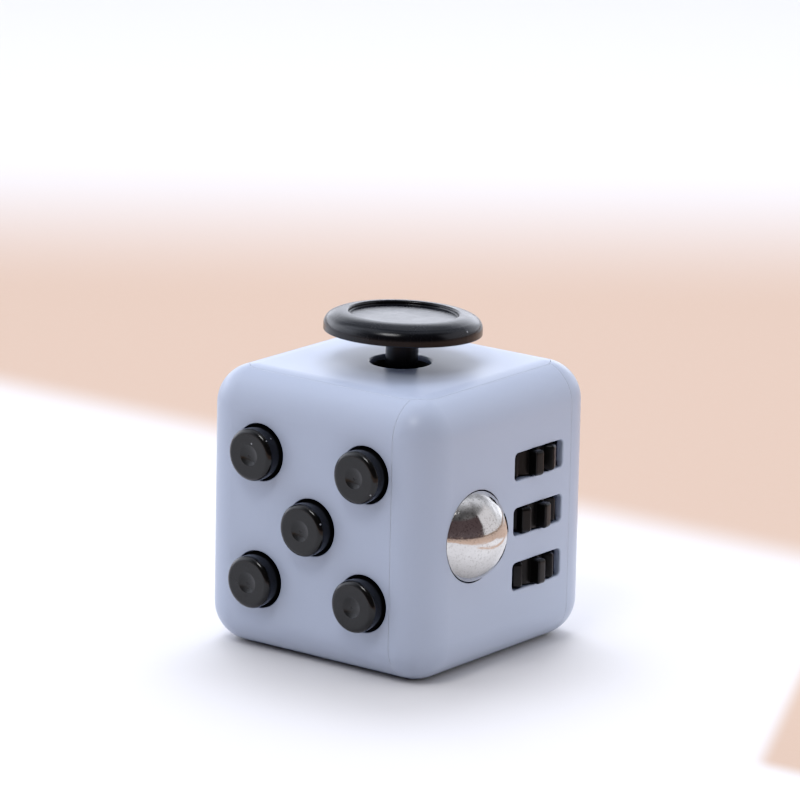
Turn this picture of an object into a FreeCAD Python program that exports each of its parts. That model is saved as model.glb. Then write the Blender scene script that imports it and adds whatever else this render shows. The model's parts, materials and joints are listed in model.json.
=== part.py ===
import FreeCAD, Part
import math
import os

# Fidget cube: a six-panel plastic housing with a different toy on each face.
# Millimetres. +Z is up, the origin is the centre of the bottom face.
# -Y click buttons, +X ball and thumb gears, +Z joystick, +Y rocker switch,
# -X spinning dial, -Z worry-stone dish.

V = FreeCAD.Vector
X_AXIS = V(1, 0, 0)
Y_AXIS = V(0, 1, 0)
Z_AXIS = V(0, 0, 1)

# ---------------------------------------------------------------- driving dimensions
# Housing
WIDTH = 33.0  # across the flat sides, X and Y
HEIGHT = 33.4  # bottom face to top face
EDGE_RADIUS = 4.7  # rounding of every outer edge
WALL = 1.8
SEAM_GAP = 0.03  # visible line between two panels
CAP_HALF = 13.3  # half width of the top and bottom caps
CAP_CORNER = 2.7
SIDE_SEAM = 11.5  # a side panel ends this far from the centre line
LEDGE_INNER = 11.2  # the caps rest on a ledge between these two half widths
LEDGE_OUTER = 14.2
LEDGE_THICKNESS = 1.4
PEG_PLACE = 12.2  # cap pegs, from the cube's axis
PEG_RADIUS = 0.8
PEG_LENGTH = 2.2
TAB_THICKNESS = 1.0  # lap tabs behind the vertical seams
TAB_HALF = 2.8  # half height of a lap tab in the middle of a seam

RUNNING = 0.05  # clearance of every moving fit
SNUG = 0.02  # clearance of pieces held still in one another
SCREW_SLACK = 0.1  # clearance holes, more than the screw's radius

# Screws, one size throughout
SHANK_RADIUS = 0.8
HEAD_RADIUS = 1.5
HEAD_HEIGHT = 1.0
BOSS_RADIUS = 1.8

# Click face
BUTTON_PITCH_X = 7.65
BUTTON_PITCH_Z = 7.63
BUTTON_RADIUS = 3.12
BUTTON_STAND = 2.1  # proud of the panel
BUTTON_EDGE = 0.62
BUTTON_HOLE_GAP = 0.24
BUTTON_DIMPLE_RADIUS = 1.25
BUTTON_DIMPLE_DEPTH = 0.22
FLANGE_RADIUS = 4.1
FLANGE_THICKNESS = 0.8
PAD_SHEET = 0.5
DOME_HEIGHT = 1.05
PLATE_THICKNESS = 1.0

# Roll face: ball
BALL_RADIUS = 6.0
BALL_DEPTH = 2.72  # ball centre below the panel's outer face
BALL_Y = -6.95
BALL_LIP_GAP = 0.1
CARRIER_RADIUS = 4.6

# Roll face: thumb gears
GEAR_TIP_RADIUS = 5.7
GEAR_ROOT_RADIUS = 4.4
GEAR_TEETH = 10
GEAR_THICKNESS = 3.0
GEAR_PITCH = 6.6  # from one gear to the next, along the axle
GEAR_X = 11.9
GEAR_Y = 5.25
GEAR_PHASES = {"top": -11.0, "middle": 7.5, "bottom": -2.5}  # degrees, as left by a thumb
AXLE_RADIUS = 0.75
SLOT_LENGTH = 9.4
SLOT_HEIGHT = 3.3
SLOT_CORNER = 0.6
SLOT_EDGE = 0.2

# Glide face: joystick
PIVOT_DEPTH = 5.0  # ball centre below the top face
STICK_BALL_RADIUS = 3.6
STEM_RADIUS = 1.93
STICK_HOLE_RADIUS = 3.58
STICK_LEAN = -2.25  # degrees about X: the loose stick rests leaning away from the buttons
CAP_DISC_RADIUS = 9.31
CAP_DISC_LIFT = 3.51  # underside above the top face
CAP_DISC_HEIGHT = 2.35
CAP_CREST_RADIUS = 6.7  # highest line of the rim
CAP_SIDE_ROUND = 1.4  # rounding from the upright wall on to the rim
CAP_CROWN_ROUND = 4.0  # flatter rounding from there to the crest
CAP_LIP_ROUND = 0.28  # rounding from the crest down into the dish
CAP_CREASE_ROUND = 0.15
CAP_DISH_DEPTH = 0.5
LINER_THICKNESS = 0.65
BALL_FLAT = 3.2  # flat on the ball's underside, below its centre

# Flip face: rocker switch
ROCKER_PIVOT_Y = 12.6
ROCKER_RADIUS = 7.0
ROCKER_WIDTH = 7.8
ROCKER_TILT = 8.0  # either side of upright
ROCKER_VALLEY = 4.4  # centre of the finger surface, from the pivot
ROCKER_SLOPE = 9.0
PIN_RADIUS = 0.8

# Spin face: dial
DIAL_RADIUS = 8.4
DIAL_RECESS = 0.8
DIAL_STAND = 0.8
DIAL_SHAFT_RADIUS = 2.2
DETENT_COUNT = 12
DETENT_RADIUS = 5.1

# Breathe face: worry-stone dish
DISH_DEPTH = 2.0
DISH_SPHERE_RADIUS = 14.0
DISH_HALF_STRETCH = 3.0

# ---------------------------------------------------------------- derived places
HALF = WIDTH / 2
MID_Z = HEIGHT / 2
INNER = HALF - WALL
TOP_IN = HEIGHT - WALL
BALL_X = HALF - BALL_DEPTH
PIVOT_Z = HEIGHT - PIVOT_DEPTH

parts = {}


# ---------------------------------------------------------------- shape helpers
def box(x0, x1, y0, y1, z0, z1):
    return Part.makeBox(x1 - x0, y1 - y0, z1 - z0, V(x0, y0, z0))


def rod_x(radius, x0, x1, y, z):
    return Part.makeCylinder(radius, x1 - x0, V(x0, y, z), X_AXIS)


def rod_y(radius, y0, y1, x, z):
    return Part.makeCylinder(radius, y1 - y0, V(x, y0, z), Y_AXIS)


def rod_z(radius, z0, z1, x, y):
    return Part.makeCylinder(radius, z1 - z0, V(x, y, z0), Z_AXIS)


def ball(radius, x, y, z):
    return Part.makeSphere(radius, V(x, y, z))


def rounded_square(half, corner, z0, z1):
    block = box(-half, half, -half, half, z0, z1)
    return block.makeFillet(corner, upright_edges(block))


def upright_edges(shape):
    found = []
    for edge in shape.Edges:
        size = edge.BoundBox
        if size.ZLength > 0.1 and size.XLength < 1e-6 and size.YLength < 1e-6:
            found.append(edge)
    return found


def circle_edges(shape, radius, place, axis):
    """The edges of one radius that lie at one place along an axis (0, 1 or 2)."""
    found = []
    for edge in shape.Edges:
        size = edge.BoundBox
        spans = [size.XLength, size.YLength, size.ZLength]
        places = [size.XMin, size.YMin, size.ZMin]
        across = max(spans)
        if spans[axis] < 1e-4 and abs(places[axis] - place) < 1e-4 and abs(across - 2 * radius) < 0.01:
            found.append(edge)
    return found


def turned(points):
    """A solid of revolution about Z from (radius, height) points or (point, mid, end) arcs."""
    edges = []
    here = points[0]
    for step in list(points[1:]) + [points[0]]:
        if len(step) == 4:
            middle = V(step[0], 0, step[1])
            end = (step[2], step[3])
            edges.append(Part.Arc(V(here[0], 0, here[1]), middle, V(end[0], 0, end[1])).toShape())
        else:
            end = step
            edges.append(Part.makeLine(V(here[0], 0, here[1]), V(end[0], 0, end[1])))
        here = end
    face = Part.Face(Part.Wire(edges))
    return face.revolve(V(0, 0, 0), Z_AXIS, 360)


def stood(shape, direction, place):
    """Turns a shape built along +Z so that +Z points along direction, then moves it."""
    placed = shape.copy()
    turn = FreeCAD.Placement(place, FreeCAD.Rotation(Z_AXIS, direction))
    placed.Placement = turn.multiply(placed.Placement)
    return placed


def moved(shape, x, y, z):
    placed = shape.copy()
    placed.translate(V(x, y, z))
    return placed


def spun(shape, angle, centre=V(0, 0, 0), axis=Z_AXIS):
    placed = shape.copy()
    placed.rotate(centre, axis, angle)
    return placed


def screw(length):
    """Pan-head screw, shank along +Z from the origin, head below, with a cross recess."""
    edge = 0.35
    recess_half = 0.95
    recess_width = 0.3
    recess_depth = 0.5
    head = turned(
        [
            (0, -HEAD_HEIGHT),
            (HEAD_RADIUS - edge, -HEAD_HEIGHT),
            (HEAD_RADIUS - 0.3 * edge, -HEAD_HEIGHT + 0.3 * edge, HEAD_RADIUS, -HEAD_HEIGHT + edge),
            (HEAD_RADIUS, 0),
            (0, 0),
        ]
    )
    shank = rod_z(SHANK_RADIUS, 0, length - SHANK_RADIUS / 2, 0, 0)
    point = Part.makeCone(SHANK_RADIUS, SHANK_RADIUS / 2, SHANK_RADIUS / 2, V(0, 0, length - SHANK_RADIUS / 2))
    low = -HEAD_HEIGHT - 0.1
    high = -HEAD_HEIGHT + recess_depth
    cross = box(-recess_half, recess_half, -recess_width / 2, recess_width / 2, low, high)
    cross = cross.fuse(box(-recess_width / 2, recess_width / 2, -recess_half, recess_half, low, high))
    return head.fuse([shank, point]).cut(cross).removeSplitter()


def coil(radius, wire, half_turns, length):
    """Open coil spring along +Z in the given length: tilted half rings joined by balls."""
    step = (length - 2 * wire) / half_turns
    ring_radius = math.hypot(radius, step / 2)
    slope = math.degrees(math.atan2(step / 2, radius))
    pieces = []
    for n in range(half_turns):
        half_ring = Part.makeTorus(ring_radius, wire, V(0, 0, 0), Z_AXIS, 0, 360, 180)
        half_ring = spun(half_ring, slope, axis=Y_AXIS)
        half_ring = spun(half_ring, 180 * n)
        pieces.append(moved(half_ring, 0, 0, wire + (n + 0.5) * step))
    for n in range(1, half_turns):
        side = 1 if n % 2 == 0 else -1
        pieces.append(ball(wire, side * radius, 0, wire + n * step))
    return pieces[0].fuse(pieces[1:])


def add(name, shape):
    """Keeps a finished node; more than one solid is a group of identical pieces."""
    parts[name] = shape


def group(shapes):
    return Part.makeCompound(shapes)


# ---------------------------------------------------------------- housing blanks
def outer_form():
    block = box(-HALF, HALF, -HALF, HALF, 0, HEIGHT)
    return block.makeFillet(EDGE_RADIUS, block.Edges)


def cavity_form():
    block = box(-INNER, INNER, -INNER, INNER, WALL, TOP_IN)
    return block.makeFillet(EDGE_RADIUS - WALL, block.Edges)


def peg_places():
    return [(PEG_PLACE, 0), (0, PEG_PLACE), (-PEG_PLACE, 0), (0, -PEG_PLACE)]


def cap_blank(outer, is_top):
    """A flat cap with the housing's rounded outer surface and four locating pegs."""
    zone = rounded_square(CAP_HALF - SEAM_GAP / 2, CAP_CORNER, -1, HEIGHT + 1)
    if is_top:
        slab = box(-HALF, HALF, -HALF, HALF, TOP_IN, HEIGHT + 1)
    else:
        slab = box(-HALF, HALF, -HALF, HALF, -1, WALL)
    cap = outer.common(zone).common(slab)
    for x, y in peg_places():
        if is_top:
            cap = cap.fuse(rod_z(PEG_RADIUS, TOP_IN - PEG_LENGTH, TOP_IN + 0.2, x, y))
        else:
            cap = cap.fuse(rod_z(PEG_RADIUS, WALL - 0.2, WALL + PEG_LENGTH, x, y))
    return cap


def side_blank(outer, cavity):
    """The -Y side panel: wall, one rounded upright edge, cap ledges, peg sockets."""
    gap = SEAM_GAP / 2
    zone = rounded_square(CAP_HALF + gap, CAP_CORNER + gap, -1, HEIGHT + 1)
    ring = outer.cut(cavity).cut(zone)
    for z0 in (WALL, TOP_IN - LEDGE_THICKNESS):
        z1 = z0 + LEDGE_THICKNESS
        ledge = rounded_square(LEDGE_OUTER, 2.4, z0, z1)
        ledge = ledge.cut(rounded_square(LEDGE_INNER, 1.5, z0 - 1, z1 + 1))
        ring = ring.fuse(ledge)
    region = box(-HALF - 1, SIDE_SEAM - gap, -HALF - 1, -SIDE_SEAM - gap, -1, HEIGHT + 1)
    panel = ring.common(region)
    socket_radius = 1.7
    socket_depth = 2.8
    for z0, z1 in ((WALL, WALL + socket_depth), (TOP_IN - socket_depth, TOP_IN)):
        socket = rod_z(socket_radius, z0, z1, 0, -PEG_PLACE)
        panel = panel.fuse(socket)
        panel = panel.cut(rod_z(PEG_RADIUS + RUNNING, z0 - 1, z1 + 1, 0, -PEG_PLACE))
    return panel.removeSplitter()


def lap_tab(z0, z1):
    """Tab on the -Y panel that reaches behind the next panel across the seam."""
    overlap = 1.3
    root = box(SIDE_SEAM - 2.4, SIDE_SEAM - SEAM_GAP / 2, -INNER - 0.1, -INNER + 1.35, z0, z1)
    tongue_y = -INNER + 0.35
    tongue = box(SIDE_SEAM - 2.4, SIDE_SEAM + overlap, tongue_y, tongue_y + TAB_THICKNESS, z0, z1)
    return root.fuse(tongue)


def screw_boss(direction, place, length, pilot):
    """Boss on a panel's inside: direction points inwards, place is on the wall."""
    body = stood(rod_z(BOSS_RADIUS, -0.05, length, 0, 0), direction, place)
    hole = stood(rod_z(SHANK_RADIUS + RUNNING, length - pilot, length + 1, 0, 0), direction, place)
    return body, hole


# ---------------------------------------------------------------- click face (-Y)
def button_places():
    places = {"centre": (0, MID_Z)}
    for side, sx in (("left", -1), ("right", 1)):
        for level, sz in (("upper", 1), ("lower", -1)):
            places[level + "_" + side] = (sx * BUTTON_PITCH_X, MID_Z + sz * BUTTON_PITCH_Z)
    return places


def click_screw_places():
    return [(-BUTTON_PITCH_X, MID_Z), (0, MID_Z + BUTTON_PITCH_Z), (0, MID_Z - BUTTON_PITCH_Z)]


PAD_FRONT = -INNER + RUNNING + FLANGE_THICKNESS + 0.05 + DOME_HEIGHT  # y of the pad's sheet
PLATE_FRONT = PAD_FRONT + PAD_SHEET
PLATE_BACK = PLATE_FRONT + PLATE_THICKNESS
NOTCH_X = 4.75  # the pad and the plate stop here, level with the ball


def click_panel(blank):
    hole_edge = 0.15
    pilot = 3.2
    panel = blank.fuse(lap_tab(MID_Z - TAB_HALF, MID_Z + TAB_HALF))
    hole_radius = BUTTON_RADIUS + BUTTON_HOLE_GAP
    for x, z in button_places().values():
        panel = panel.cut(rod_y(hole_radius, -HALF - 1, -INNER + 0.5, x, z))
    rims = circle_edges(panel, hole_radius, -HALF, 1)
    panel = panel.makeFillet(hole_edge, rims)
    for x, z in click_screw_places():
        body, hole = screw_boss(Y_AXIS, V(x, -INNER, z), PLATE_FRONT + INNER, pilot)
        panel = panel.fuse(body).cut(hole)
    return panel.removeSplitter()


def click_button():
    """Button along +Z: base of the flange at the origin, finger face at the top."""
    top = FLANGE_THICKNESS + WALL + BUTTON_STAND
    side = BUTTON_RADIUS
    edge = BUTTON_EDGE
    bend = edge * (1 - math.sqrt(0.5))
    body = turned(
        [
            (0, 0),
            (FLANGE_RADIUS, 0),
            (FLANGE_RADIUS, FLANGE_THICKNESS),
            (side, FLANGE_THICKNESS),
            (side, top - edge),
            (side - bend, top - bend, side - edge, top),
            (0, top),
        ]
    )
    reach = BUTTON_DIMPLE_RADIUS
    depth = BUTTON_DIMPLE_DEPTH
    bowl = (reach**2 + depth**2) / (2 * depth)
    return body.cut(ball(bowl, 0, 0, top - depth + bowl))


def pad_outline(y0, y1):
    """Sheet behind the buttons, notched where the ball and its carrier stand."""
    reach_x = 12.3
    reach_z = 11.0
    corner = 1.0
    notch_half = 4.2
    sheet = box(-reach_x, reach_x, y0, y1, MID_Z - reach_z, MID_Z + reach_z)
    sheet = sheet.makeFillet(corner, [e for e in sheet.Edges if e.BoundBox.YLength > (y1 - y0) / 2])
    notch = box(NOTCH_X, HALF, y0 - 1, y1 + 1, MID_Z - notch_half, MID_Z + notch_half)
    return sheet.cut(notch)


def click_dome_pad():
    pad = pad_outline(PAD_FRONT, PLATE_FRONT)
    skin = 0.45
    foot = 3.2
    crown = 1.9
    nib_radius = 0.6
    nib_length = 0.45
    screw_room = 0.2
    top = DOME_HEIGHT
    for x, z in button_places().values():
        place = V(x, PAD_FRONT, z)
        dome = stood(Part.makeCone(foot, crown, top, V(0, 0, 0)), V(0, -1, 0), place)
        hollow = Part.makeCone(foot - skin, crown - skin, top - skin + PAD_SHEET, V(0, 0, -PAD_SHEET))
        hollow = stood(hollow, V(0, -1, 0), place)
        nib = rod_z(nib_radius, top - skin - nib_length, top - skin + 0.1, 0, 0)
        pad = pad.fuse(dome).cut(hollow).fuse(stood(nib, V(0, -1, 0), place))
    for x, z in click_screw_places():
        pad = pad.cut(rod_y(BOSS_RADIUS + screw_room, -HALF, 0, x, z))
    return pad.removeSplitter()


def snap_dome(x, z):
    """Thin domed steel disc that gives a button its click."""
    reach = 2.3
    rise = 0.45
    sheet = 0.12
    bowl = (reach**2 + rise**2) / (2 * rise)
    skin = ball(bowl, 0, 0, rise - bowl).cut(ball(bowl - sheet, 0, 0, rise - bowl))
    disc = skin.common(rod_z(reach, 0.02, 2, 0, 0))
    return stood(disc, V(0, -1, 0), V(x, PLATE_FRONT, z))


def click_backplate():
    plate = pad_outline(PLATE_FRONT, PLATE_BACK)
    for x, z in click_screw_places():
        plate = plate.cut(rod_y(SHANK_RADIUS + SCREW_SLACK, -HALF, 0, x, z))
    rib_half = 0.5
    rib_stand = 0.8
    rib_reach = 5.2
    for x in (-4.4, 0):
        rib = box(x - rib_half, x + rib_half, PLATE_BACK - 0.1, PLATE_BACK + rib_stand,
                  MID_Z - rib_reach, MID_Z + rib_reach)
        plate = plate.fuse(rib)
    return plate.removeSplitter()


# ---------------------------------------------------------------- roll face (+X)
SPINE_X0 = 4.8
SPINE_X1 = 5.9
CARRIER_BACK = 6.3
CARRIER_FRONT = 9.4
TUBE_BACK = 1.4
TUBE_STEP = 5.25  # the carrier's stop; the narrower spring tube lies behind it
TUBE_WALL = 0.85
TUBE_FRONT = 8.9
SPRING_SEAT = 2.4
SPRING_POCKET = 0.5  # the spring reaches this far into the carrier
SPRING_RADIUS = 2.6  # to the middle of the wire
SPRING_WIRE_RADIUS = 0.3
SPRING_HALF_TURNS = 7
SPRING_TUBE_RADIUS = 3.15
EAR_X0 = 11.8
EAR_X1 = 13.0
EAR_BALL = (-9.5, 9.0)  # y, and height from the cube's middle
EAR_GEAR = (9.2, 10.4)
ARM_Y0 = 3.75
ARM_Y1 = 6.75
ARM_OUTER = (8.4, 10.4)
ARM_INNER = (1.8, 4.8)
STRUT_TUBE = (4.6, 7.4)  # strut from the tube out to the ear, by height from the middle
STRUT_EAR = (6.4, 7.4)
AXLE_LOW = MID_Z - ARM_OUTER[1] + 0.62


def gear_levels():
    return {"top": MID_Z + GEAR_PITCH, "middle": MID_Z, "bottom": MID_Z - GEAR_PITCH}


def roll_screw_places():
    places = []
    for y, rise in (EAR_BALL, EAR_GEAR):
        for sign in (1, -1):
            places.append((y, MID_Z + sign * rise))
    return places


def on_slot_rim(edge, level):
    """True for the edges round a gear slot on the panel's outer face."""
    size = edge.BoundBox
    on_face = size.XMin > HALF - 1e-3
    in_height = abs(size.ZMin - level) < SLOT_HEIGHT and abs(size.ZMax - level) < SLOT_HEIGHT
    return on_face and in_height and size.YMin > GEAR_Y - SLOT_LENGTH and size.YMax < GEAR_Y + SLOT_LENGTH


def roll_panel(blank):
    tab_near = 8.9
    tab_far = 11.4
    gear_room = 0.3
    pilot = 2.0
    panel = spun(blank, 90)
    for sign in (1, -1):
        low, high = sorted((MID_Z + sign * tab_near, MID_Z + sign * tab_far))
        panel = panel.fuse(spun(lap_tab(low, high), 90))
    panel = panel.cut(ball(BALL_RADIUS + BALL_LIP_GAP, BALL_X, BALL_Y, MID_Z))
    for z in gear_levels().values():
        slot = box(INNER - 1, HALF + 1, GEAR_Y - SLOT_LENGTH / 2, GEAR_Y + SLOT_LENGTH / 2,
                   z - SLOT_HEIGHT / 2, z + SLOT_HEIGHT / 2)
        along = [e for e in slot.Edges if e.BoundBox.XLength > 1]
        panel = panel.cut(slot.makeFillet(SLOT_CORNER, along))
        rim = [e for e in panel.Edges if on_slot_rim(e, z)]
        panel = panel.makeFillet(SLOT_EDGE, rim)
        relief = rod_z(GEAR_TIP_RADIUS + gear_room, z - SLOT_HEIGHT / 2, z + SLOT_HEIGHT / 2, GEAR_X, GEAR_Y)
        panel = panel.cut(relief)
    for y, z in roll_screw_places():
        body, hole = screw_boss(V(-1, 0, 0), V(INNER, y, z), INNER - EAR_X1, pilot)
        panel = panel.fuse(body).cut(hole)
    return panel.removeSplitter()


def ball_carrier():
    body = rod_x(CARRIER_RADIUS, CARRIER_BACK, CARRIER_FRONT, BALL_Y, MID_Z)
    seat = ball(BALL_RADIUS + RUNNING, BALL_X, BALL_Y, MID_Z)
    pocket_radius = SPRING_RADIUS + SPRING_WIRE_RADIUS + 0.2
    spring_pocket = rod_x(pocket_radius, CARRIER_BACK - 1, CARRIER_BACK + SPRING_POCKET, BALL_Y, MID_Z)
    return body.cut(seat).cut(spring_pocket)


def thumb_gear(level, phase):
    """Ten-tooth thumb wheel with rounded teeth and a plain bore."""
    half = GEAR_THICKNESS / 2
    hub_radius = 2.2
    hub_stand = 0.2
    tip_edge = 0.25
    crest = math.radians(6.0)
    foot = math.radians(9.0)
    reach = GEAR_TIP_RADIUS + 0.5
    foot_reach = GEAR_ROOT_RADIUS * 0.9
    body = rod_z(GEAR_ROOT_RADIUS, -half, half, 0, 0)
    corners = [
        V(foot_reach * math.cos(foot), -foot_reach * math.sin(foot), -half),
        V(reach * math.cos(crest), -reach * math.sin(crest), -half),
        V(reach * math.cos(crest), reach * math.sin(crest), -half),
        V(foot_reach * math.cos(foot), foot_reach * math.sin(foot), -half),
    ]
    tooth = Part.Face(Part.makePolygon(corners + corners[:1])).extrude(V(0, 0, GEAR_THICKNESS))
    teeth = [spun(tooth, 360 / GEAR_TEETH * n) for n in range(GEAR_TEETH)]
    body = body.fuse(teeth)
    tip = GEAR_TIP_RADIUS
    soft = 0.4
    bend = soft * (1 - math.sqrt(0.5))
    envelope = turned(
        [
            (0, -half),
            (tip - soft, -half),
            (tip - bend, bend - half, tip, soft - half),
            (tip, half - soft),
            (tip - bend, half - bend, tip - soft, half),
            (0, half),
        ]
    )
    body = body.common(envelope).removeSplitter()
    tips = []
    for edge in upright_edges(body):
        place = edge.CenterOfMass
        if abs(math.hypot(place.x, place.y) - tip) < 0.02:
            tips.append(edge)
    body = body.makeFillet(tip_edge, tips)
    hub = rod_z(hub_radius, -half - hub_stand, half + hub_stand, 0, 0)
    body = body.fuse(hub).cut(rod_z(AXLE_RADIUS + RUNNING, -half - 1, half + 1, 0, 0))
    return moved(spun(body.removeSplitter(), phase), GEAR_X, GEAR_Y, level)


def roll_bracket():
    """Tube for the ball carrier, comb for the gear axle, and four screw ears."""
    tube_radius = CARRIER_RADIUS + RUNNING + TUBE_WALL
    spring_tube_radius = SPRING_TUBE_RADIUS + 0.6
    bracket = rod_x(tube_radius, TUBE_STEP - 0.3, TUBE_FRONT, BALL_Y, MID_Z)
    bracket = bracket.fuse(rod_x(spring_tube_radius, TUBE_BACK, TUBE_STEP, BALL_Y, MID_Z))
    web_y = -2.2
    web_half = 4.4
    bracket = bracket.fuse(box(SPINE_X0, SPINE_X1, web_y, ARM_Y1, MID_Z - web_half, MID_Z + web_half))
    spine_y1 = 8.5
    spine_half = ARM_OUTER[1]
    bracket = bracket.fuse(box(SPINE_X0, SPINE_X1, ARM_Y0, spine_y1, MID_Z - spine_half, MID_Z + spine_half))
    for sign in (1, -1):
        bracket = bracket.fuse(bracket_side(sign))
    bracket = bracket.cut(rod_x(CARRIER_RADIUS + RUNNING, TUBE_STEP, HALF, BALL_Y, MID_Z))
    bracket = bracket.cut(rod_x(SPRING_TUBE_RADIUS, SPRING_SEAT, HALF, BALL_Y, MID_Z))
    ball_room = 0.35
    bracket = bracket.cut(ball(BALL_RADIUS + ball_room, BALL_X, BALL_Y, MID_Z))
    bracket = bracket.cut(rod_z(AXLE_RADIUS + SNUG, AXLE_LOW - SNUG, HEIGHT, GEAR_X, GEAR_Y))
    for y, z in roll_screw_places():
        bracket = bracket.cut(rod_x(SHANK_RADIUS + SCREW_SLACK, EAR_X0 - 1, HALF, y, z))
    return bracket.removeSplitter()


def bracket_side(sign):
    """The arms and ears above (sign 1) or below (sign -1) the bracket's middle."""

    def block(x0, x1, y0, y1, near, far):
        z0, z1 = sorted((MID_Z + sign * near, MID_Z + sign * far))
        return box(x0, x1, y0, y1, z0, z1)

    nose = GEAR_X + 1.6
    side = block(SPINE_X0, nose, ARM_Y0, ARM_Y1, *ARM_OUTER)
    side = side.fuse(block(SPINE_X0, nose, ARM_Y0, ARM_Y1, *ARM_INNER))
    y, rise = EAR_GEAR
    ear_low = y - BOSS_RADIUS
    side = side.fuse(block(EAR_X0 - 3, EAR_X1, ARM_Y1 - 1, ear_low + 0.3, *ARM_OUTER))
    side = side.fuse(block(EAR_X0, EAR_X1, ear_low, y + BOSS_RADIUS, ARM_OUTER[0], rise + BOSS_RADIUS))
    y, rise = EAR_BALL
    ear_y0 = y - 1.4
    ear_y1 = y + BOSS_RADIUS
    strut_x = 7.2
    side = side.fuse(block(EAR_X0, EAR_X1, ear_y0, ear_y1, rise - 2.2, rise + BOSS_RADIUS))
    side = side.fuse(block(strut_x, TUBE_FRONT, ear_y0, ear_y1, *STRUT_TUBE))
    return side.fuse(block(strut_x, EAR_X1, ear_y0, ear_y1, *STRUT_EAR))


# ---------------------------------------------------------------- glide face (+Z)
STICK_SCREW_CIRCLE = 8.2
SOCKET_RADIUS = 6.3
SOCKET_BOTTOM = TOP_IN - 2.0
RETAINER_FLANGE = 1.2
RETAINER_DISC_RADIUS = 9.9
RETAINER_CUP_RADIUS = 5.9
RETAINER_BOTTOM = PIVOT_Z - 6.2
PAD_RADIUS = 2.2
PAD_TOP = PIVOT_Z - BALL_FLAT - 0.08  # just clear of the ball's leaning flat
PAD_LOW = PAD_TOP - 1.92
SPIGOT_RADIUS = 1.2
SPIGOT_LENGTH = 0.9
LINER_OUTER = STICK_BALL_RADIUS + RUNNING + LINER_THICKNESS


def stick_screw_places():
    places = []
    for n in range(4):
        angle = math.radians(45 + 90 * n)
        places.append((STICK_SCREW_CIRCLE * math.cos(angle), STICK_SCREW_CIRCLE * math.sin(angle)))
    return places


def glide_panel(outer):
    pilot = 2.4
    panel = cap_blank(outer, True)
    for x, y in stick_screw_places():
        body, hole = screw_boss(V(0, 0, -1), V(x, y, TOP_IN), TOP_IN - SOCKET_BOTTOM, pilot)
        panel = panel.fuse(body).cut(hole)
    panel = panel.cut(rod_z(STICK_HOLE_RADIUS, 0, HEIGHT + 1, 0, 0))
    hole_edge = 0.25
    rim = circle_edges(panel, STICK_HOLE_RADIUS, HEIGHT, 2)
    return panel.makeFillet(hole_edge, rim).removeSplitter()


def joystick_socket():
    """Upper seat: holds the ball down and lines the hole in the panel."""
    seat = STICK_BALL_RADIUS + RUNNING
    low = SOCKET_BOTTOM
    seat_top = PIVOT_Z + 2.15
    collar_top = HEIGHT - 0.6
    collar = STICK_HOLE_RADIUS - 0.06
    collar_mouth = 3.3
    body = turned(
        [
            (0, low),
            (SOCKET_RADIUS, low),
            (SOCKET_RADIUS, TOP_IN),
            (collar, TOP_IN),
            (collar, collar_top),
            (0, collar_top),
        ]
    )
    mouth = math.sqrt(seat**2 - (seat_top - PIVOT_Z) ** 2)
    throat = turned(
        [
            (0, seat_top),
            (mouth, seat_top),
            (collar_mouth, collar_top),
            (collar_mouth, HEIGHT),
            (0, HEIGHT),
        ]
    )
    return body.cut(ball(seat, 0, 0, PIVOT_Z)).cut(throat)


def joystick_liner():
    """Low-friction ring, spherical inside and outside, that the ball turns in."""
    inner = STICK_BALL_RADIUS + RUNNING
    outer = LINER_OUTER
    mouth = math.radians(50)
    shell = ball(outer, 0, 0, PIVOT_Z).cut(ball(inner, 0, 0, PIVOT_Z))
    shell = shell.common(rod_z(outer + 1, PIVOT_Z - outer - 1, PIVOT_Z - 0.2, 0, 0))
    reach = outer + 1
    cone = Part.makeCone(0, reach * math.tan(mouth), reach, V(0, 0, PIVOT_Z), V(0, 0, -1))
    return shell.cut(cone)


def joystick_retainer():
    """Lower cup with a flange, screwed up against the socket."""
    flange_low = SOCKET_BOTTOM - RETAINER_FLANGE
    body = rod_z(RETAINER_CUP_RADIUS, RETAINER_BOTTOM, SOCKET_BOTTOM, 0, 0)
    body = body.fuse(rod_z(RETAINER_DISC_RADIUS, flange_low, SOCKET_BOTTOM, 0, 0))
    cup = LINER_OUTER + RUNNING
    body = body.cut(ball(cup, 0, 0, PIVOT_Z))
    body = body.cut(rod_z(cup, PIVOT_Z, SOCKET_BOTTOM + 1, 0, 0))
    body = body.cut(rod_z(PAD_RADIUS + RUNNING, PAD_LOW, PIVOT_Z, 0, 0))
    for x, y in stick_screw_places():
        body = body.cut(rod_z(SHANK_RADIUS + SCREW_SLACK, RETAINER_BOTTOM, SOCKET_BOTTOM + 1, x, y))
    return body.removeSplitter()


def leaning(shape):
    return spun(shape, STICK_LEAN, V(0, 0, PIVOT_Z), X_AXIS)


def joystick_stem():
    top = HEIGHT + CAP_DISC_LIFT
    stem = rod_z(STEM_RADIUS, PIVOT_Z, top, 0, 0)
    spigot = rod_z(SPIGOT_RADIUS, top - 0.1, top + SPIGOT_LENGTH, 0, 0)
    knob = ball(STICK_BALL_RADIUS, 0, 0, PIVOT_Z)
    knob = knob.cut(rod_z(STICK_BALL_RADIUS, PIVOT_Z - 5, PIVOT_Z - BALL_FLAT, 0, 0))
    return leaning(knob.fuse([stem, spigot]).removeSplitter())


def on_arc(centre_r, centre_z, radius, degrees):
    """A point of an upright profile: on an arc, at an angle above the outward direction."""
    angle = math.radians(degrees)
    return (centre_r + radius * math.cos(angle), centre_z + radius * math.sin(angle))


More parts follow.
